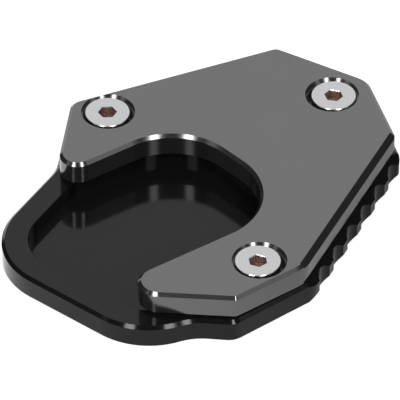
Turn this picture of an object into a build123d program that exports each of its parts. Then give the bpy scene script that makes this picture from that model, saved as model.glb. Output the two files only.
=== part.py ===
from build123d import *
import os
from math import cos, radians, sin, sqrt, tan

# Everything is in millimetres. Z points up, the underside stands on Z = 0, and
# Y runs along the cut-out from its open mouth to its closed end.

# Plates, from the ground up.
base_thickness = 6.5
clamp_thickness = 7.1
base_margin = 1.2              # the base shows this far beyond the clamp plate
back_margin = 1.45             # and this far along its short back side
base_edge_break = 0.85         # 45 degree bevel on the upper edge of the base
clamp_edge_break = 0.85        # the same on the clamp plate
underside_break = 0.45         # bevel where the base meets the ground
clamp_under_break = 1.0        # bevel on the lower edges of the clamp plate

# Wide flat bevels along the grip edge, from the top down.
clamp_grip_bevel = 1.45
clamp_grip_under_bevel = 1.8
base_grip_bevel = 1.9
base_grip_under_bevel = 1.35

# Cut-out for the stand leg.
slot_width = 43.0
slot_end = 7.85                # closed end, on the centre line of the cut-out
slot_end_slope = 9.5           # degrees, rising to the right
slot_left_radius = 17.7
slot_right_radius = 18.1

# Foot pocket in the base.
pocket_depth = 4.2
pocket_undercut = 3.0          # the pocket runs this far in under the clamp plate
rim_width = 7.0                # wall of the base round the nose
pocket_break = 0.25
shoulder_y = -26.0             # where the pocket starts to narrow into the nose
neck_y = -31.5
pocket_corner_radius = 3.0

# Row of round notches that gives the grip edge its bite.
crest_setback = 1.7            # the lands stand this far outside the clamp plate
notch_pitch = 8.78
notch_width = 6.1
notch_depth = 1.3
notch_count = 6
notch_lead = 4.85              # from the back corner to the first notch's middle

# Countersunk screws, M6.
thread_diameter = 6.0
head_diameter = 11.8
head_land = 0.3                # straight part of the head above its cone
head_break = 0.15
head_sink = 0.25               # the heads sit this far below the clamp plate's face
screw_length = 12.0
tip_break = 0.6
hex_width = 4.0
hex_depth = 2.5
hex_break = 0.18               # bevel round the mouth of the socket
clearance_hole = 6.6
countersink_diameter = 14.1    # wider than the head, so a groove shows round it
countersink_depth = 2.3        # below this the hole narrows to the head's own cone
thread_clearance = 0.05
tapped_hole_break = 0.5

# Each screw: its place, how far its countersink is off centre, and its turn.
left_screw_x = -36.08
left_screw_y = -9.24
left_sink_right = 0.18
left_sink_back = 0.1
left_screw_turn = -1.0
right_screw_x = 34.47
right_screw_y = -10.05
right_sink_right = 0.36
right_sink_back = 0.26
right_screw_turn = 34.0
back_screw_x = -8.68
back_screw_y = 43.62
back_sink_right = -0.28
back_sink_back = -0.34
back_screw_turn = -16.0

# Outline of the clamp plate, clockwise, with the radius at each corner.
left_corner_x = -44.8
left_corner_y = -14.85
left_corner_radius = 3.5
left_back_x = -33.55
left_back_y = 42.6
left_back_radius = 3.0
back_corner_x = -8.9
back_corner_y = 54.7
back_radius = 6.0
grip_back_x = 13.45
grip_back_y = 47.6
grip_back_radius = 1.5
grip_front_x = 42.9
grip_front_y = -1.35
grip_front_radius = 9.0
right_corner_x = 43.55
right_corner_y = -22.85
right_corner_radius = 1.5
right_tip_y = -50.7
right_tip_radius = 5.5
left_tip_y = -35.3
left_tip_radius = 4.7

# Outline of the base where it leaves the clamp plate behind.
front_land_x = 42.9            # where the grip edge has rounded into the right side
front_land_y = 0.25
side_front_x = 44.35
side_front_y = -23.85
side_front_radius = 5.0
right_waist_x = 37.65
right_waist_y = -31.85
waist_flat = 0.15              # straight part left between waist and nose, inside too
nose_right_x = 34.75
nose_right_y = -46.95
nose_right_radius = 19.5
nose_left_x = -15.25
nose_left_y = -62.95
nose_left_radius = 20.0
nose_lean = 25.0               # degrees, left side of the nose
left_waist_radius = 12.0

reach = 1.0                    # cutters run this far past the metal they remove


def left_of(direction):
    return Vector(-direction.Y, direction.X)


def side(start, end, moved=0.0):
    """The line through two corners, moved to its left, as a point and a direction."""
    direction = (end - start).normalized()
    return start + left_of(direction) * moved, direction


def crossing(line, other_line):
    """Where two lines in the plan meet."""
    point, direction = line
    other_point, other_direction = other_line
    across = left_of(other_direction)
    travel = (other_point - point).dot(across) / direction.dot(across)
    return point + direction * travel


def half_turn_tangent(before, corner, after):
    """The straight length that a round corner uses up, for a radius of one."""
    turn = (corner - before).get_angle(after - corner)
    return tan(radians(turn) / 2)


def outline(*corners):
    """A flat face from its corners, each a point and the radius there."""
    points = [point for point, radius in corners]
    radii = [radius for point, radius in corners]
    return make_face(FilletPolyline(*points, radius=radii, close=True))


def prism(face, bottom, top):
    return extrude(Pos(0, 0, bottom) * face, amount=top - bottom)


def edges_at(body, height):
    return body.edges().filter_by_position(Axis.Z, height, height)


def turned(*profile):
    """A body turned round Z from its half section, given as radius and height."""
    return revolve(Plane.XZ * make_face(Polyline(*profile, close=True)), Axis.Z)


left_corner = Vector(left_corner_x, left_corner_y)
left_back_corner = Vector(left_back_x, left_back_y)
back_corner = Vector(back_corner_x, back_corner_y)
grip_back_corner = Vector(grip_back_x, grip_back_y)
grip_front_corner = Vector(grip_front_x, grip_front_y)
right_corner = Vector(right_corner_x, right_corner_y)
right_tip = Vector(slot_width / 2, right_tip_y)
left_tip = Vector(-slot_width / 2, left_tip_y)
front_land = Vector(front_land_x, front_land_y)
side_front = Vector(side_front_x, side_front_y)
right_waist = Vector(right_waist_x, right_waist_y)
nose_right = Vector(nose_right_x, nose_right_y)
nose_left = Vector(nose_left_x, nose_left_y)

# Each screw as its place, the place of its countersink, and its turn.
left_screw = Vector(left_screw_x, left_screw_y)
right_screw = Vector(right_screw_x, right_screw_y)
back_screw = Vector(back_screw_x, back_screw_y)
fastenings = [
    (left_screw, left_screw + Vector(left_sink_right, left_sink_back), left_screw_turn),
    (right_screw, right_screw + Vector(right_sink_right, right_sink_back), right_screw_turn),
    (back_screw, back_screw + Vector(back_sink_right, back_sink_back), back_screw_turn),
]

# The outlines run clockwise, so the left of every side is its outside.
stack_height = base_thickness + clamp_thickness
forward = Vector(0, 1)
slope = Vector(cos(radians(slot_end_slope)), sin(radians(slot_end_slope)))
slot_end_line = (Vector(0, slot_end), slope)
back_side = side(back_corner, grip_back_corner, back_margin)
crest_line = side(grip_back_corner, grip_front_corner, crest_setback)
along_grip = crest_line[1]
out_of_grip = left_of(along_grip)
grip_side = grip_front_corner - grip_back_corner
grip_middle = grip_back_corner + grip_side / 2


def grip_wedge(line_point, size, height, upward, half_length):
    """What a flat 45 degree bevel along the grip edge removes."""
    tip = size + reach
    profile = Polyline(
        (-tip, upward * reach),
        (reach, -upward * tip),
        (reach, upward * reach),
        close=True,
    )
    section = Plane(
        origin=(line_point.X, line_point.Y, height),
        x_dir=(out_of_grip.X, out_of_grip.Y, 0),
        z_dir=(along_grip.X, along_grip.Y, 0),
    )
    return extrude(section * make_face(profile), amount=half_length, both=True)


# Clamp plate: milled outline, edge bevels, wide bevels along the grip side.
clamp_outline = outline(
    (left_corner, left_corner_radius),
    (left_back_corner, left_back_radius),
    (back_corner, back_radius),
    (grip_back_corner, grip_back_radius),
    (grip_front_corner, grip_front_radius),
    (right_corner, right_corner_radius),
    (right_tip, right_tip_radius),
    (crossing((right_tip, forward), slot_end_line), slot_right_radius),
    (crossing((left_tip, forward), slot_end_line), slot_left_radius),
    (left_tip, left_tip_radius),
)
clamp_plate = prism(clamp_outline, base_thickness, stack_height)
clamp_plate = chamfer(edges_at(clamp_plate, stack_height), clamp_edge_break)
clamp_plate = chamfer(edges_at(clamp_plate, base_thickness), clamp_under_break)
for size, height, upward in (
    (clamp_grip_bevel, stack_height, 1),
    (clamp_grip_under_bevel, base_thickness, -1),
):
    clamp_plate -= grip_wedge(grip_middle, size, height, upward, grip_side.length / 2)

# Countersunk holes: a seat for the cone of the head below a wider countersink.
head_radius = head_diameter / 2
countersink_radius = countersink_diameter / 2
head_top = stack_height - head_sink
cone_top = head_top - head_land
seat_top = stack_height - countersink_depth
seat = turned(
    (0, base_thickness - reach),
    (clearance_hole / 2, base_thickness - reach),
    (clearance_hole / 2, cone_top - head_radius + clearance_hole / 2),
    (head_radius - cone_top + seat_top, seat_top),
    (0, seat_top),
)
countersink = turned(
    (0, seat_top),
    (countersink_radius - countersink_depth, seat_top),
    (countersink_radius + reach, stack_height + reach),
    (0, stack_height + reach),
)
for place, sink_place, turn in fastenings:
    clamp_plate -= Pos(place.X, place.Y, 0) * seat
    clamp_plate -= Pos(sink_place.X, sink_place.Y, 0) * countersink

# Base plate: outline with a straight grip edge, standing proud of its lands. The
# waist takes up what the round of the nose leaves of the side between them.
nose_run = nose_right_radius * half_turn_tangent(right_waist, nose_right, nose_left)
waist_run = (nose_right - right_waist).length - nose_run - waist_flat
right_waist_radius = waist_run / half_turn_tangent(side_front, right_waist, nose_right)
proud_crest_line = side(grip_back_corner, grip_front_corner, crest_setback + reach)
right_side = side(front_land, side_front)
left_front_side = side(left_tip, left_corner, base_margin)
left_side = side(left_corner, left_back_corner, base_margin)
left_back_side = side(left_back_corner, back_corner, base_margin)
lean = Vector(-sin(radians(nose_lean)), cos(radians(nose_lean)))
left_waist = crossing((nose_left, lean), left_front_side)
base_outline = outline(
    (left_waist, left_waist_radius),
    (crossing(left_front_side, left_side), left_corner_radius),
    (crossing(left_side, left_back_side), left_back_radius),
    (crossing(left_back_side, back_side), back_radius),
    (crossing(back_side, proud_crest_line), 0),
    (crossing(proud_crest_line, right_side), 0),
    (side_front, side_front_radius),
    (right_waist, right_waist_radius),
    (nose_right, nose_right_radius),
    (nose_left, nose_left_radius),
)
base_plate = prism(base_outline, 0, base_thickness)
base_plate = chamfer(edges_at(base_plate, base_thickness), base_edge_break)
base_plate = chamfer(edges_at(base_plate, 0), underside_break)

# Foot pocket, open to the front cut-out and undercut below the clamp plate.
pocket_half_width = slot_width / 2 + pocket_undercut
pocket_left = (Vector(-pocket_half_width, 0), forward)
pocket_right = (Vector(pocket_half_width, 0), forward)
pocket_end = (slot_end_line[0] + left_of(slope) * pocket_undercut, slope)
nose_right_wall = side(right_waist, nose_right, -rim_width)
nose_front_wall = side(nose_right, nose_left, -rim_width)
nose_left_wall = side(nose_left, left_waist, -rim_width)
shoulder = Vector(pocket_half_width, shoulder_y)
neck = crossing((Vector(0, neck_y), Vector(1, 0)), nose_right_wall)
pocket_nose_right = crossing(nose_right_wall, nose_front_wall)
pocket_nose_left = crossing(nose_front_wall, nose_left_wall)

# The round at the neck has what the round of the nose leaves of the wall they share.
pocket_nose_radius = nose_right_radius - rim_width
pocket_nose_run = pocket_nose_radius * half_turn_tangent(neck, pocket_nose_right, pocket_nose_left)
neck_run = (pocket_nose_right - neck).length - pocket_nose_run - waist_flat
neck_room = neck_run / half_turn_tangent(shoulder, neck, pocket_nose_right)
pocket_outline = outline(
    (crossing(nose_left_wall, pocket_left), pocket_corner_radius),
    (crossing(pocket_left, pocket_end), slot_left_radius + pocket_undercut),
    (crossing(pocket_end, pocket_right), slot_right_radius + pocket_undercut),
    (shoulder, pocket_corner_radius),
    (neck, min(pocket_corner_radius, neck_room)),
    (pocket_nose_right, pocket_nose_radius),
    (pocket_nose_left, nose_left_radius - rim_width),
)
pocket_floor = base_thickness - pocket_depth
base_plate -= prism(pocket_outline, pocket_floor, base_thickness + reach)
top_faces = base_plate.faces().filter_by_position(Axis.Z, base_thickness, base_thickness)
pocket_mouth = top_faces[0].inner_wires()[0]
base_plate = chamfer(pocket_mouth.edges(), pocket_break)

# Grip edge: flat bevels along the crest line first, then the row of notches.
crest_corner = crossing(back_side, crest_line)
crest_middle = crest_corner + along_grip * grip_side.length / 2
for size, height, upward in (
    (base_grip_bevel, base_thickness, 1),
    (base_grip_under_bevel, 0, -1),
):
    base_plate -= grip_wedge(crest_middle, size, height, upward, grip_side.length)


def on_grip(travel, inward=0.0):
    """A point at the grip edge, measured from the back corner of the crest line."""
    return crest_corner + along_grip * travel - out_of_grip * inward


notch_middles = [notch_lead + notch_pitch * step for step in range(notch_count)]
notches = [
    ThreePointArc(
        on_grip(middle - notch_width / 2),
        on_grip(middle, notch_depth),
        on_grip(middle + notch_width / 2),
    )
    for middle in notch_middles
]
lands = [
    Line(on_grip(middle + notch_width / 2), on_grip(middle + notch_pitch - notch_width / 2))
    for middle in notch_middles[:-1]
]
first_notch_start = on_grip(notch_middles[0] - notch_width / 2)
last_notch_end = on_grip(notch_middles[-1] + notch_width / 2)
corner_start = crest_corner - back_side[1] * (first_notch_start - crest_corner).length
far_out = crest_setback + 3 * reach
front_far_out = front_land + left_of(right_side[1]) * far_out
crest_far_out = crest_corner + out_of_grip * far_out
notch_cutter = make_face(
    [
        TangentArc(corner_start, first_notch_start, tangent=back_side[1]),
        *notches,
        *lands,
        TangentArc(front_land, last_notch_end, tangent=-right_side[1]),
        Polyline(
            front_land,
            front_far_out,
            crossing((crest_far_out, along_grip), (front_far_out, right_side[1])),
            crest_far_out,
            corner_start + left_of(back_side[1]) * far_out,
            corner_start,
        ),
    ]
)
base_plate -= prism(notch_cutter, -reach, base_thickness + reach)

# Tapped holes for the screws.
hole_radius = thread_diameter / 2 + thread_clearance
tapped_hole = turned(
    (0, -reach),
    (hole_radius + tapped_hole_break + reach, -reach),
    (hole_radius, tapped_hole_break),
    (hole_radius, base_thickness - tapped_hole_break),
    (hole_radius + tapped_hole_break + reach, base_thickness + reach),
    (0, base_thickness + reach),
)
for place, sink_place, turn in fastenings:
    base_plate -= Pos(place.X, place.Y, 0) * tapped_hole

# Screws: turned head and shank, and a hexagon socket with a drilled point.
shank_radius = thread_diameter / 2
screw_tip = head_top - screw_length
screw = turned(
    (0, screw_tip),
    (shank_radius - tip_break, screw_tip),
    (shank_radius, screw_tip + tip_break),
    (shank_radius, cone_top - head_radius + shank_radius),
    (head_radius, cone_top),
    (head_radius, head_top - head_break),
    (head_radius - head_break, head_top),
    (0, head_top),
)
hexagon = RegularPolygon(hex_width / 2, 6, major_radius=False)
screw -= prism(hexagon, head_top - hex_depth, head_top + reach)
socket_mouth = edges_at(screw, head_top).filter_by(GeomType.LINE)
screw = chamfer(socket_mouth, hex_break)
screw -= turned(
    (0, head_top - hex_depth - hex_width / 2 / sqrt(3)),
    (hex_width / 2, head_top - hex_depth),
    (0, head_top - hex_depth),
)
screws = [
    Pos(place.X, place.Y, 0) * Rot(0, 0, turn) * screw
    for place, sink_place, turn in fastenings
]

# One file per node, centred on the plan.
middle = base_plate.bounding_box().center()
centred = Pos(-middle.X, -middle.Y, 0)
os.makedirs("parts", exist_ok=True)
export_step(centred * base_plate, "parts/base_plate.step")
export_step(centred * clamp_plate, "parts/clamp_plate.step")
export_step(centred * Compound(screws), "parts/clamp_screws.step")
print("plan centre", middle.X, middle.Y)
print("size", base_plate.bounding_box().size, "height", stack_height)
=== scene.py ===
# %% [markdown]
# # A kickstand foot enlarger
# Two plates of aluminium are milled from flat stock, anodised, and clamped round
# the foot of a motorcycle's kickstand with three countersunk screws. The shapes
# come from the CAD model. This lesson gives each piece its real surface, and
# lights it like a small metal part in a photographer's white tent.

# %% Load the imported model
import math

import bpy
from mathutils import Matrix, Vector


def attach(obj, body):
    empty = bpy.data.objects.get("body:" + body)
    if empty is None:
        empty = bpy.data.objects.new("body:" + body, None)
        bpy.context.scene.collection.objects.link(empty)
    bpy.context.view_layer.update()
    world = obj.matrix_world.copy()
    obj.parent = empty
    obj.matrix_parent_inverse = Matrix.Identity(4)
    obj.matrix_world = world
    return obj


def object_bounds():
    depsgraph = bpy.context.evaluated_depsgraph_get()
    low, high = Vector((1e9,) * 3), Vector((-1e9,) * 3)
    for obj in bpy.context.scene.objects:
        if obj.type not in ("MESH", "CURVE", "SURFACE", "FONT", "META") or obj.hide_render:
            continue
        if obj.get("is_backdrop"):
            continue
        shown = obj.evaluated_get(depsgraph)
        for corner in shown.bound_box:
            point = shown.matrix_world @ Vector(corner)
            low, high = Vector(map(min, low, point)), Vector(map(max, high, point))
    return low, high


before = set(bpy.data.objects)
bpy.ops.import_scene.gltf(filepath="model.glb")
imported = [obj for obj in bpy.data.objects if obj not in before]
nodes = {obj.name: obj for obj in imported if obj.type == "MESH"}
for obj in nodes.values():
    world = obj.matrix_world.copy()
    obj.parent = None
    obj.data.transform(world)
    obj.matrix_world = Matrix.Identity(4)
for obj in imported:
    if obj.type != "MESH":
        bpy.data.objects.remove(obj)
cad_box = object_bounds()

# Blender works in metres. The sizes of the part are written in millimetres, times
# MM. The large ones of the table, the camera and the lamps are in metres.
MM = 0.001
print("pieces:", sorted(nodes))
print("size in mm:", [round(v / MM, 1) for v in cad_box[1] - cad_box[0]])

# %% [markdown]
# ## Node helpers
# Every finish below is a small network of shader nodes. Wired by hand, each node
# takes a line for every value and every link. A few helpers keep the networks
# short: they add a node and fill its inputs, do sums, shade a colour, add noise,
# and make a node group whose inputs have names, like the sizes of a part.

# %% Helpers that add and fill nodes
def fill(tree, node, **inputs):
    """Fill a node's inputs with values or links. _0 stands for its first input."""
    for name, value in inputs.items():
        socket = node.inputs[int(name[1:]) if name[1:].isdigit() else name.replace("_", " ")]
        if isinstance(value, bpy.types.NodeSocket):
            tree.links.new(value, socket)
        else:
            socket.default_value = value


def add_node(tree, kind, settings=None, **inputs):
    """Add a node, set its options, and fill its inputs."""
    node = tree.nodes.new(kind)
    for name, value in (settings or {}).items():
        setattr(node, name, value)
    fill(tree, node, **inputs)
    return node


def maths(tree, operation, *values):
    """The result of one sum."""
    numbered = {f"_{index}": value for index, value in enumerate(values)}
    return add_node(tree, "ShaderNodeMath", {"operation": operation}, **numbered).outputs[0]


# %% Helpers for colours, noise and groups
def scaled(tree, colour, factor):
    """A colour made lighter or darker by a factor."""
    return add_node(
        tree, "ShaderNodeVectorMath", {"operation": "SCALE"}, _0=colour, Scale=factor
    ).outputs[0]


def noise(tree, spots_per_metre, detail):
    """A soft random pattern that is fixed to the object."""
    place = add_node(tree, "ShaderNodeTexCoord").outputs["Object"]
    return add_node(
        tree, "ShaderNodeTexNoise", Vector=place, Scale=spots_per_metre, Detail=detail
    ).outputs["Fac"]


def new_group(name, inputs, outputs):
    """An empty shader group with named inputs and outputs."""
    tree = bpy.data.node_groups.new(name, "ShaderNodeTree")
    for label, (kind, default) in inputs.items():
        socket = tree.interface.new_socket(label, in_out="INPUT", socket_type=kind)
        socket.default_value = default
    for label, kind in outputs.items():
        tree.interface.new_socket(label, in_out="OUTPUT", socket_type=kind)
    return tree, tree.nodes.new("NodeGroupInput"), tree.nodes.new("NodeGroupOutput")


# %% [markdown]
# ## The anodised skin
# Anodising grows a thin hard oxide out of the aluminium and the dye sits in its
# pores. Seen close, the skin is finely matt with a faint cloudiness, because the
# blasted metal below it is not perfectly even. A flat colour would look like
# plastic, so one group makes a fine grain for the bump and a slow cloud that
# moves both roughness and colour. Both plates use it with their own values.

# %% A group for the grain and the clouds of the skin
FLOAT = "NodeSocketFloat"
COLOUR = "NodeSocketColor"
CLOUD_SIZE = 14
CLOUD_DETAIL = 3.0
GRAIN_DETAIL = 2.0
skin, skin_in, skin_out = new_group(
    "anodised skin",
    {
        "Colour": (COLOUR, (0.2, 0.2, 0.2, 1)),
        "Roughness": (FLOAT, 0.3),
        "Cloudiness": (FLOAT, 0.1),
        "Grain size mm": (FLOAT, 0.2),
    },
    {"Colour": COLOUR, "Roughness": FLOAT, "Height": FLOAT},
)
cloud = noise(skin, 1 / (CLOUD_SIZE * MM), CLOUD_DETAIL)
grains_per_metre = maths(skin, "DIVIDE", 1 / MM, skin_in.outputs["Grain size mm"])
swing = maths(skin, "MULTIPLY_ADD", cloud, skin_in.outputs["Cloudiness"], 1.0)
fill(
    skin,
    skin_out,
    Colour=scaled(skin, skin_in.outputs["Colour"], swing),
    Roughness=maths(skin, "MULTIPLY", skin_in.outputs["Roughness"], swing),
    Height=noise(skin, grains_per_metre, GRAIN_DETAIL),
)
print("anodised skin has", len(skin.nodes), "nodes")

# %% [markdown]
# ## The two anodised finishes
# The clamp plate is titanium grey: the dye leaves the metal shining through, so
# it is mostly a metal with a dark tint, and the matt oxide scatters the rest. The
# black dye hides the metal completely, so the base is a dark non-metal whose shine
# comes from the clear oxide alone. One function makes both, so they share the
# same blasted grain and differ only in the values that it is given.

# %% A function that makes one anodised finish
GRAIN_SIZE = 0.25
GRAIN_DEPTH = 0.001


def anodised(name, colour, metallic, roughness, ior, cloudiness):
    """A material of the anodised skin, with the same blasted grain on every plate."""
    material = bpy.data.materials.new(name)
    material.use_nodes = True
    tree = material.node_tree
    surface = add_node(
        tree,
        "ShaderNodeGroup",
        {"node_tree": skin},
        Colour=(*colour, 1),
        Roughness=roughness,
        Cloudiness=cloudiness,
        Grain_size_mm=GRAIN_SIZE,
    )
    bump = add_node(
        tree,
        "ShaderNodeBump",
        Height=surface.outputs["Height"],
        Distance=GRAIN_DEPTH * MM,
        Strength=1.0,
    )
    fill(
        tree,
        tree.nodes["Principled BSDF"],
        Base_Color=surface.outputs["Colour"],
        Roughness=surface.outputs["Roughness"],
        Normal=bump.outputs["Normal"],
        Metallic=metallic,
        IOR=ior,
    )
    return material


# %% The finishes of the two plates
titanium = anodised(
    "titanium anodised",
    colour=(0.17, 0.17, 0.1728),
    metallic=0.88,
    roughness=0.16,
    ior=1.5,
    cloudiness=0.06,
)
black = anodised(
    "black anodised",
    colour=(0.01, 0.01, 0.0105),
    metallic=0.0,
    roughness=0.1,
    ior=1.33,
    cloudiness=0.1,
)
for finish in (titanium, black):
    print(finish.name, "has", len(finish.node_tree.nodes), "nodes")

# %% [markdown]
# ## Plated screws
# A screw head is turned on a lathe, which leaves faint rings round its axis, and
# its socket is punched. The plating hardly reaches down there, so the socket
# stays dull, brown and mottled, and painted shade darkens it towards its walls.
# All these marks need the distance from each screw's own axis, which is read from
# the heads in the model. Under an even screen a bump hardly shows, so the rings
# also paint a faint shade into the plating's colour.

# %% The axes of the three screws
FACE_SLACK = 0.02
# Each strip along x holds one of the screws.
STRIPS = ((-60, -20), (-20, 20), (20, 60))
screw_vertices = nodes["clamp_screws"].data.vertices
head_top = max(v.co.z for v in screw_vertices)
axes = []
for left, right in STRIPS:
    rim = [
        v.co
        for v in screw_vertices
        if v.co.z > head_top - FACE_SLACK * MM and left * MM < v.co.x < right * MM
    ]
    xs, ys = [c.x for c in rim], [c.y for c in rim]
    axes.append(((min(xs) + max(xs)) / 2, (min(ys) + max(ys)) / 2))
print("screw axes in mm:", [(round(x / MM, 2), round(y / MM, 2)) for x, y in axes])

# %% A group for the turned rings and the dull sockets
head, head_in, head_out = new_group(
    "turned head",
    {
        "Plating": (COLOUR, (0.6, 0.6, 0.605, 1)),
        "Bare steel": (COLOUR, (0.36, 0.21, 0.17, 1)),
        "Plating roughness": (FLOAT, 0.24),
        "Bare roughness": (FLOAT, 0.5),
        "Socket radius mm": (FLOAT, 2.4),
        "Ring pitch mm": (FLOAT, 0.85),
        "Painted ring shade": (FLOAT, 0.03),
        "Mottle size mm": (FLOAT, 0.45),
    },
    {"Colour": COLOUR, "Roughness": FLOAT, "Metallic": FLOAT, "Height": FLOAT},
)
print("turned head takes", len(head_in.outputs) - 1, "values")

# %% How far a point is from its screw's axis, and whether it lies in the socket
PLATED_RIM = 0.25
SOCKET_DEPTH = 4.0
head_place = add_node(head, "ShaderNodeTexCoord").outputs["Object"]
split = add_node(head, "ShaderNodeSeparateXYZ", Vector=head_place)
flat_place = add_node(
    head, "ShaderNodeCombineXYZ", X=split.outputs["X"], Y=split.outputs["Y"]
).outputs[0]
distances = [
    add_node(
        head, "ShaderNodeVectorMath", {"operation": "DISTANCE"}, _0=flat_place, _1=(x, y, 0)
    ).outputs["Value"]
    for x, y in axes
]
nearest = distances[0]
for distance in distances[1:]:
    nearest = maths(head, "MINIMUM", nearest, distance)
radius = maths(head, "DIVIDE", nearest, MM)
inside = maths(head, "LESS_THAN", radius, head_in.outputs["Socket radius mm"])
socket_middle = head_top - (PLATED_RIM + SOCKET_DEPTH / 2) * MM
at_socket_height = maths(
    head, "COMPARE", split.outputs["Z"], socket_middle, SOCKET_DEPTH / 2 * MM
)
in_socket = maths(head, "MULTIPLY", inside, at_socket_height)
print("sockets reach from", round((head_top - PLATED_RIM * MM) / MM, 2), "mm down by",
      SOCKET_DEPTH, "mm")

# %% The rings on the plating
turns = maths(head, "DIVIDE", radius, head_in.outputs["Ring pitch mm"])
rings = maths(head, "SINE", maths(head, "MULTIPLY", turns, 2 * math.pi))
# Painted shade: the rings lighten and darken the plating's colour a little, in place of the
# shading that their bump would give.
painted_ring_shade = maths(head, "MULTIPLY_ADD", rings, head_in.outputs["Painted ring shade"], 1.0)
print("rings with the axes take", len(head.nodes), "nodes")

# %% The mottled steel, with painted shade towards the socket's walls
def graded(tree, value, span, levels, settings=None):
    """A level that goes from the first to the second while the value crosses a span."""
    return add_node(
        tree,
        "ShaderNodeMapRange",
        settings,
        Value=value,
        From_Min=span[0],
        From_Max=span[1],
        To_Min=levels[0],
        To_Max=levels[1],
    ).outputs["Result"]


MOTTLE_DETAIL = 2.0
# Noise stays near its middle, so this narrow span takes in most of it.
MOTTLE_SPAN = (0.38, 0.62)
MOTTLE_SHADES = (0.4, 1.6)
# Painted shade: the bare steel is a little lighter in the socket's middle and darker out at its
# walls, where shade falls in the recess.
PAINTED_SHADE_SPAN = (0.8, 2.2)
PAINTED_WALL_SHADES = (1.1, 0.75)
mottles_per_metre = maths(head, "DIVIDE", 1 / MM, head_in.outputs["Mottle size mm"])
blotches = noise(head, mottles_per_metre, MOTTLE_DETAIL)
mottle_and_painted_shade = maths(
    head,
    "MULTIPLY",
    graded(head, blotches, MOTTLE_SPAN, MOTTLE_SHADES),
    graded(head, radius, PAINTED_SHADE_SPAN, PAINTED_WALL_SHADES),
)
print("mottling goes from", MOTTLE_SHADES[0], "to", MOTTLE_SHADES[1], "times the bare steel")

# %% The head's colour, roughness and shine
# A Mix node has a set of inputs for each kind of value. Its two numbers are at 2
# and 3, its two colours are at 6 and 7, and its mixed colour is output 2.
colour_mix = add_node(
    head,
    "ShaderNodeMix",
    {"data_type": "RGBA"},
    _0=in_socket,
    _6=scaled(head, head_in.outputs["Plating"], painted_ring_shade),
    _7=scaled(head, head_in.outputs["Bare steel"], mottle_and_painted_shade),
)
rough_mix = add_node(
    head,
    "ShaderNodeMix",
    _0=in_socket,
    _2=head_in.outputs["Plating roughness"],
    _3=head_in.outputs["Bare roughness"],
)
fill(
    head,
    head_out,
    Colour=colour_mix.outputs[2],
    Roughness=rough_mix.outputs[0],
    Metallic=maths(head, "SUBTRACT", 1.0, in_socket),
    Height=rings,
)
print("turned head:", len(head.nodes), "nodes for", len(axes), "screws")

# %% The plated steel
RING_DEPTH = 0.0006
steel = bpy.data.materials.new("plated steel")
steel.use_nodes = True
steel_tree = steel.node_tree
marks = add_node(steel_tree, "ShaderNodeGroup", {"node_tree": head})
ring_bump = add_node(
    steel_tree,
    "ShaderNodeBump",
    Height=marks.outputs["Height"],
    Distance=RING_DEPTH * MM,
    Strength=1.0,
)
fill(
    steel_tree,
    steel_tree.nodes["Principled BSDF"],
    Base_Color=marks.outputs["Colour"],
    Roughness=marks.outputs["Roughness"],
    Metallic=marks.outputs["Metallic"],
    Normal=ring_bump.outputs["Normal"],
)
print("plated steel has", len(steel_tree.nodes), "nodes")

# %% [markdown]
# ## Threads in the tapped holes
# The screws end inside the base, so the last turn of each tapped hole shows from
# below. A thread is a three-sided ridge that follows a helix, and it is the same in
# every hole. It could be cut into the plate, but that would fill a plain solid with
# small faces. A Geometry Nodes tree draws the ridge once from its named sizes
# instead, and sets a copy at each of the points that it is given.

# %% A tree that sets one thread at each point
def geometry_tree(name, inputs):
    """An empty Geometry Nodes tree that takes points and a list of named inputs."""
    tree = bpy.data.node_groups.new(name, "GeometryNodeTree")
    tree.interface.new_socket("Points", in_out="INPUT", socket_type="NodeSocketGeometry")
    for label, kind in inputs.items():
        tree.interface.new_socket(label, in_out="INPUT", socket_type=kind)
    tree.interface.new_socket("Geometry", in_out="OUTPUT", socket_type="NodeSocketGeometry")
    return tree, tree.nodes.new("NodeGroupInput"), tree.nodes.new("NodeGroupOutput")


thread_tree, given, made = geometry_tree(
    "thread at each point",
    {
        "Hole radius": FLOAT,
        "Ridge size": FLOAT,
        "Pitch": FLOAT,
        "Turns": FLOAT,
        "Points along": "NodeSocketInt",
        "Finish": "NodeSocketMaterial",
    },
)
# The flat side of the ridge lies on the wall, half its size out from the helix.
half_ridge = maths(thread_tree, "MULTIPLY", given.outputs["Ridge size"], 0.5)
helix_radius = maths(thread_tree, "SUBTRACT", given.outputs["Hole radius"], half_ridge)
helix = add_node(
    thread_tree,
    "GeometryNodeCurveSpiral",
    Resolution=given.outputs["Points along"],
    Rotations=1.0,
    Start_Radius=helix_radius,
    End_Radius=helix_radius,
    Height=given.outputs["Pitch"],
)
part_of_turn = add_node(
    thread_tree,
    "GeometryNodeTrimCurve",
    {"mode": "FACTOR"},
    Curve=helix.outputs[0],
    End=given.outputs["Turns"],
)
upright = add_node(
    thread_tree, "GeometryNodeSetCurveNormal", {"mode": "Z_UP"}, Curve=part_of_turn.outputs[0]
)
triangle = add_node(
    thread_tree,
    "GeometryNodeCurvePrimitiveCircle",
    Resolution=3,
    Radius=given.outputs["Ridge size"],
)
ridge = add_node(
    thread_tree,
    "GeometryNodeCurveToMesh",
    Curve=upright.outputs[0],
    Profile_Curve=triangle.outputs[0],
    Fill_Caps=True,
)
copies = add_node(
    thread_tree,
    "GeometryNodeInstanceOnPoints",
    Points=given.outputs["Points"],
    Instance=ridge.outputs[0],
)
solid_copies = add_node(thread_tree, "GeometryNodeRealizeInstances", Geometry=copies.outputs[0])
finished = add_node(
    thread_tree,
    "GeometryNodeSetMaterial",
    Geometry=solid_copies.outputs[0],
    Material=given.outputs["Finish"],
)
fill(thread_tree, made, Geometry=finished.outputs[0])
print("thread tree has", len(thread_tree.nodes), "nodes")

# %% The wall of the tapped holes, measured in the base
def from_axis(vertex):
    """How far a vertex is from the nearest screw axis."""
    return min(math.hypot(vertex.co.x - x, vertex.co.y - y) for x, y in axes)


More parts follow.
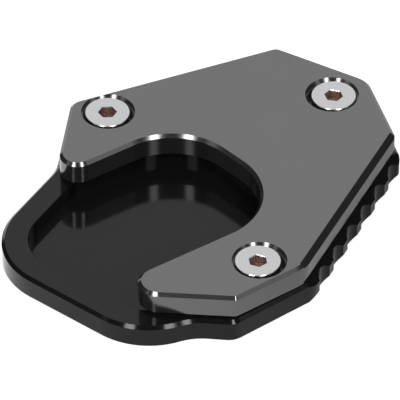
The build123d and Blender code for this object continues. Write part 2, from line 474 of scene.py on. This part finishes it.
WALL_SLACK = 0.001
base_vertices = nodes["base_plate"].data.vertices
hole_radius = min(from_axis(v) for v in base_vertices)
wall_start = min(v.co.z for v in base_vertices if from_axis(v) < hole_radius + WALL_SLACK * MM)
print("the wall of a hole is", round(hole_radius / MM, 3), "mm from its axis and starts",
      round(wall_start / MM, 3), "mm above the underside")

# %% A helper that keeps a tree's result as a plain mesh
def new_object(name, data):
    """An object at the origin, linked into the scene."""
    thing = bpy.data.objects.new(name, data)
    bpy.context.scene.collection.objects.link(thing)
    return thing


def baked(name, points, tree, values):
    """Run a tree on a mesh of points and keep the result as a plain mesh object."""
    seed = bpy.data.meshes.new(name + "_points")
    seed.from_pydata(points, [], [])
    draft = new_object(name + "_draft", seed)
    modifier = draft.modifiers.new("tree", "NODES")
    modifier.node_group = tree
    for item in tree.interface.items_tree:
        if item.in_out == "INPUT" and item.name in values:
            modifier[item.identifier] = values[item.name]
    evaluated = draft.evaluated_get(bpy.context.evaluated_depsgraph_get())
    mesh = bpy.data.meshes.new_from_object(evaluated)
    draft.modifiers.remove(modifier)
    bpy.data.objects.remove(draft)
    return new_object(name, mesh)


# %% The threads of the three holes
# The helix sets out in the bevelled mouth, this far below the wall.
MOUTH_RUN = 0.05
thread_sizes = {
    "Hole radius": hole_radius,
    "Ridge size": 0.39 * MM,
    "Pitch": 1.0 * MM,
    "Turns": 0.85,
    "Points along": 48,
    "Finish": black,
}
thread_feet = [(x, y, wall_start - MOUTH_RUN * MM) for x, y in axes]
threads = baked("hole_threads", thread_feet, thread_tree, thread_sizes)
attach(threads, "root")
reach = [from_axis(v) for v in threads.data.vertices]
heights = [v.co.z for v in threads.data.vertices]
print("threads from radius", round(min(reach) / MM, 3), "to", round(max(reach) / MM, 3), "mm,",
      "heights", round(min(heights) / MM, 3), "to", round(max(heights) / MM, 3), "mm,",
      len(threads.data.polygons), "faces")

# %% [markdown]
# ## Dress the three pieces of the model
# The plates and the screws come from the CAD model with their shapes finished, and
# those stay as they are. Only their materials change: each piece drops the plain
# one that it arrived with and takes its finish.

# %% Dress the three nodes
for node_name, finish in (
    ("clamp_plate", titanium),
    ("base_plate", black),
    ("clamp_screws", steel),
):
    piece = nodes[node_name]
    piece.data.materials.clear()
    piece.data.materials.append(finish)
    print(node_name, "wears", finish.name)

# %% [markdown]
# ## The table and the backdrop
# A white table reaches far past the object. The camera sees white paint with a
# little glow of its own, so it stays white and still keeps the soft shadow. The
# metal mirrors a painted pool of light in place of the table: a glow that only
# reflections see, brightest at the front and on the left, with painted shade
# behind the object for its soft shadow, and fading into a dark room. From below
# the table is clear, so that the underside can be looked at too.

# %% The white table
TABLE_HALF = 6.0
TABLE_DROP = 0.02
table_mesh = bpy.data.meshes.new("table")
table_mesh.from_pydata(
    [
        (x * TABLE_HALF, y * TABLE_HALF, -TABLE_DROP * MM)
        for x, y in ((-1, -1), (1, -1), (1, 1), (-1, 1))
    ],
    [],
    [(0, 1, 2, 3)],
)
table = new_object("table", table_mesh)
table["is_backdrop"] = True
print("table reaches", TABLE_HALF, "m each way")

# %% The paint that the camera sees
WHITE = (1, 1, 1, 1)
TABLE_PAINT = 0.8
TABLE_LIFT = 0.78
white = bpy.data.materials.new("white table")
white.use_nodes = True
table_tree = white.node_tree
table_tree.nodes.clear()
rays = add_node(table_tree, "ShaderNodeLightPath")
lift = maths(table_tree, "MULTIPLY", rays.outputs["Is Camera Ray"], TABLE_LIFT)
paint = add_node(table_tree, "ShaderNodeBsdfDiffuse", Color=(*[TABLE_PAINT] * 3, 1))
glow = add_node(table_tree, "ShaderNodeEmission", Color=WHITE, Strength=lift)
seen_table = add_node(
    table_tree, "ShaderNodeAddShader", _0=paint.outputs[0], _1=glow.outputs[0]
)
print("table glows by", TABLE_LIFT, "for the camera")

# %% The painted pool of light and shade that the metal mirrors
LIT_NEAR = 0.09
LIT_FAR = 0.3
DARK_ROOM = 0.09
FRONT_Y, FRONT_LIGHT = -50, 0.99
BACK_Y, BACK_LIGHT = 35, 0.51
LEFT_X, LEFT_LIGHT = -8, 1.42
RIGHT_X, RIGHT_LIGHT = 14, 0.95
table_place = add_node(table_tree, "ShaderNodeTexCoord").outputs["Object"]
from_middle = add_node(
    table_tree, "ShaderNodeVectorMath", {"operation": "LENGTH"}, _0=table_place
).outputs["Value"]
table_axes = add_node(table_tree, "ShaderNodeSeparateXYZ", Vector=table_place)
# Painted light and shade: a glow that only reflections see. It fades from the middle into a dark
# room, and it is dimmer behind the object and on the right, where it stands in for the object's
# soft shadow on the table.
shown = graded(
    table_tree,
    from_middle,
    (LIT_NEAR, LIT_FAR),
    (1.0, DARK_ROOM),
    {"interpolation_type": "SMOOTHSTEP"},
)
for axis, span, levels in (
    ("Y", (FRONT_Y * MM, BACK_Y * MM), (FRONT_LIGHT, BACK_LIGHT)),
    ("X", (LEFT_X * MM, RIGHT_X * MM), (LEFT_LIGHT, RIGHT_LIGHT)),
):
    share = graded(table_tree, table_axes.outputs[axis], span, levels)
    shown = maths(table_tree, "MULTIPLY", shown, share)
# Painted reflection: this glow is what the metal mirrors in place of a lit table.
painted_table_glow = add_node(table_tree, "ShaderNodeEmission", Color=WHITE, Strength=shown)
either = add_node(
    table_tree,
    "ShaderNodeMixShader",
    Fac=rays.outputs["Is Glossy Ray"],
    _1=seen_table.outputs[0],
    _2=painted_table_glow.outputs[0],
)
one_sided = add_node(
    table_tree,
    "ShaderNodeMixShader",
    Fac=add_node(table_tree, "ShaderNodeNewGeometry").outputs["Backfacing"],
    _1=either.outputs[0],
    _2=add_node(table_tree, "ShaderNodeBsdfTransparent").outputs[0],
)
add_node(table_tree, "ShaderNodeOutputMaterial", Surface=one_sided.outputs[0])
table.data.materials.append(white)
print("white table has", len(table_tree.nodes), "nodes")

# %% [markdown]
# ## The camera
# The edges of the plates stay almost parallel in the picture, so it was taken from
# far away. A short lens close up would spread them. A long lens more than a metre
# off keeps them parallel. It is aimed at the point of the table that lies in the
# middle of the picture.

# %% Camera
CAMERA_AZIMUTH = -34.0
CAMERA_ELEVATION = 40.5
CAMERA_DISTANCE = 1.4286
CAMERA_LENS = 495
SENSOR_WIDTH = 36
NEAR_LIMIT, FAR_LIMIT = 0.01, 20
AIM_X, AIM_Y = -5.435, 1.1563


def direction(azimuth, elevation):
    """Unit vector that points to a compass angle and a height above the table."""
    a, e = math.radians(azimuth), math.radians(elevation)
    return Vector((math.cos(a) * math.cos(e), math.sin(a) * math.cos(e), math.sin(e)))


camera_data = bpy.data.cameras.new("camera")
camera_data.sensor_width = SENSOR_WIDTH
camera_data.lens = CAMERA_LENS
camera_data.clip_start = NEAR_LIMIT
camera_data.clip_end = FAR_LIMIT
camera = new_object("camera", camera_data)
aim = Vector((AIM_X, AIM_Y, 0)) * MM
to_camera = direction(CAMERA_AZIMUTH, CAMERA_ELEVATION)
camera.location = aim + to_camera * CAMERA_DISTANCE
camera.rotation_euler = (-to_camera).to_track_quat("-Z", "Y").to_euler()
bpy.context.scene.camera = camera
print("camera at", [round(v, 3) for v in camera.location], "m")

# %% [markdown]
# ## Light
# Metal shows its surroundings, so the lamps are placed by what each face mirrors:
# a broad white screen behind the object fills the flat tops, and two smaller soft
# boxes beside the camera draw the bright lines on the bevels. The right wing shows
# as a grey in the bevels on that side. The other sheets hang where no face mirrors
# them towards this camera. They light the plates for someone who walks round the
# object or looks down on it.

# %% Lamps
LAMP_DISTANCE = 1.5


def soft_box(name, turn, elevation, width, height, radiance):
    """A rectangular lamp of even brightness that faces the object.

    It stands the given turn round from the camera. An area lamp shines with its
    power shared over pi times its area.
    """
    data = bpy.data.lights.new(name, "AREA")
    data.shape = "RECTANGLE"
    data.size = width
    data.size_y = height
    data.energy = radiance * math.pi * width * height
    lamp = new_object(name, data)
    towards = direction(CAMERA_AZIMUTH + turn, elevation)
    lamp.location = towards * LAMP_DISTANCE
    lamp.rotation_euler = towards.to_track_quat("Z", "Y").to_euler()
    lamp.visible_camera = False
    return lamp


lamps = [
    soft_box("screen behind", turn=180, elevation=42, width=2.2, height=1.3, radiance=0.93),
    soft_box("left soft box", turn=-31, elevation=45, width=0.27, height=0.42, radiance=12.5),
    soft_box("right soft box", turn=30, elevation=45, width=0.26, height=0.42, radiance=12.5),
    soft_box("low front sheet", turn=0, elevation=28, width=2.5, height=0.6, radiance=0.55),
    soft_box("top sheet", turn=0, elevation=88, width=0.7, height=0.7, radiance=0.7),
    soft_box("left wing", turn=-90, elevation=44, width=1.1, height=0.38, radiance=0.6),
    soft_box("right wing", turn=90, elevation=44, width=1.1, height=0.38, radiance=0.72),
]
for lamp in lamps:
    print(lamp.name, round(lamp.data.energy, 2), "W")

# %% [markdown]
# ## The room
# Round the lamps the room is nearly dark, which keeps the bevels between the
# highlights dark too. The picture needs a white backdrop, so the camera alone sees
# the room as white. Standard colours keep both white and black as they are made.

# %% The room
ROOM_LIGHT = 0.03
world = bpy.data.worlds.new("studio")
bpy.context.scene.world = world
world.use_nodes = True
world_tree = world.node_tree
world_tree.nodes.clear()
world_rays = add_node(world_tree, "ShaderNodeLightPath")
level = maths(
    world_tree, "MULTIPLY_ADD", world_rays.outputs["Is Camera Ray"], 1 - ROOM_LIGHT, ROOM_LIGHT
)
sky = add_node(world_tree, "ShaderNodeBackground", Color=WHITE, Strength=level)
add_node(world_tree, "ShaderNodeOutputWorld", Surface=sky.outputs[0])
bpy.context.scene.view_settings.view_transform = "Standard"
print("room light", ROOM_LIGHT, "and white behind everything for the camera")

# %% [markdown]
# ## The size of the part
# The scene must not grow or shrink the part. The box that was measured straight
# after loading is set against the box of the finished scene, and the most that
# any side has moved is printed.

# %% Compare the two boxes
seen_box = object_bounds()
moves = [v - w for seen, cad in zip(seen_box, cad_box) for v, w in zip(seen, cad)]
print("the scene moves the sides of the box by", round(max(map(abs, moves)) / MM, 3), "mm at most")
